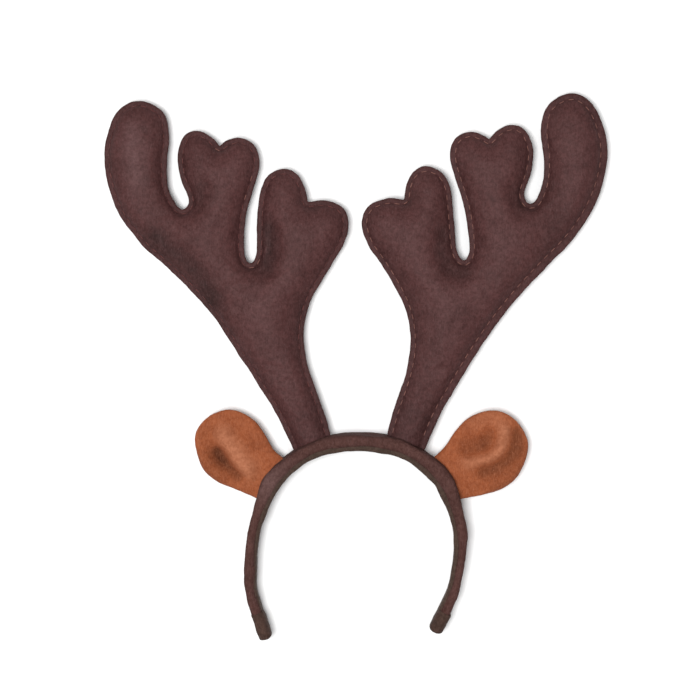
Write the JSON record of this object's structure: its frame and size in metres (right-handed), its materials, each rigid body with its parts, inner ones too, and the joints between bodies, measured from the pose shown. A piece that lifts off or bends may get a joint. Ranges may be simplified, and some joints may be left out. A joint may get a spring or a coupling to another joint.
{
  "type": "reindeer antler headband",
  "caption": "Open costume headband: a padded springy arch carrying two stuffed felt antlers with rounded tines and two tan felt ears.",
  "frame": {"origin": "middle of the crown's flat back face, on the surface that the headband lies on", "axes": "+X to the right of someone facing the headband's front, +Y from the arch's open ends up to the antlers, +Z from its back to its front"},
  "size_m": [0.3164, 0.3473, 0.024],
  "materials": {
    "arch_felt": "matt dark brown felt cover",
    "lining_cloth": "matt grey-beige strip",
    "wrap_cloth": "matt grey-brown wrapping",
    "antler_felt": "matt dark reddish-brown felt",
    "ear_felt": "matt orange-tan felt",
    "wadding": "white polyester wadding"
  },
  "bodies": {
    "root": {"headband": "arch_felt", "band_lining": "lining_cloth", "end_wrap_left": "wrap_cloth", "end_wrap_right": "wrap_cloth", "antler_left_front": "antler_felt", "antler_left_back": "antler_felt", "antler_left_stuffing": "wadding", "antler_right_front": "antler_felt", "antler_right_back": "antler_felt", "antler_right_stuffing": "wadding", "ear_left": "ear_felt", "ear_right": "ear_felt"}
  },
  "joints": []
}
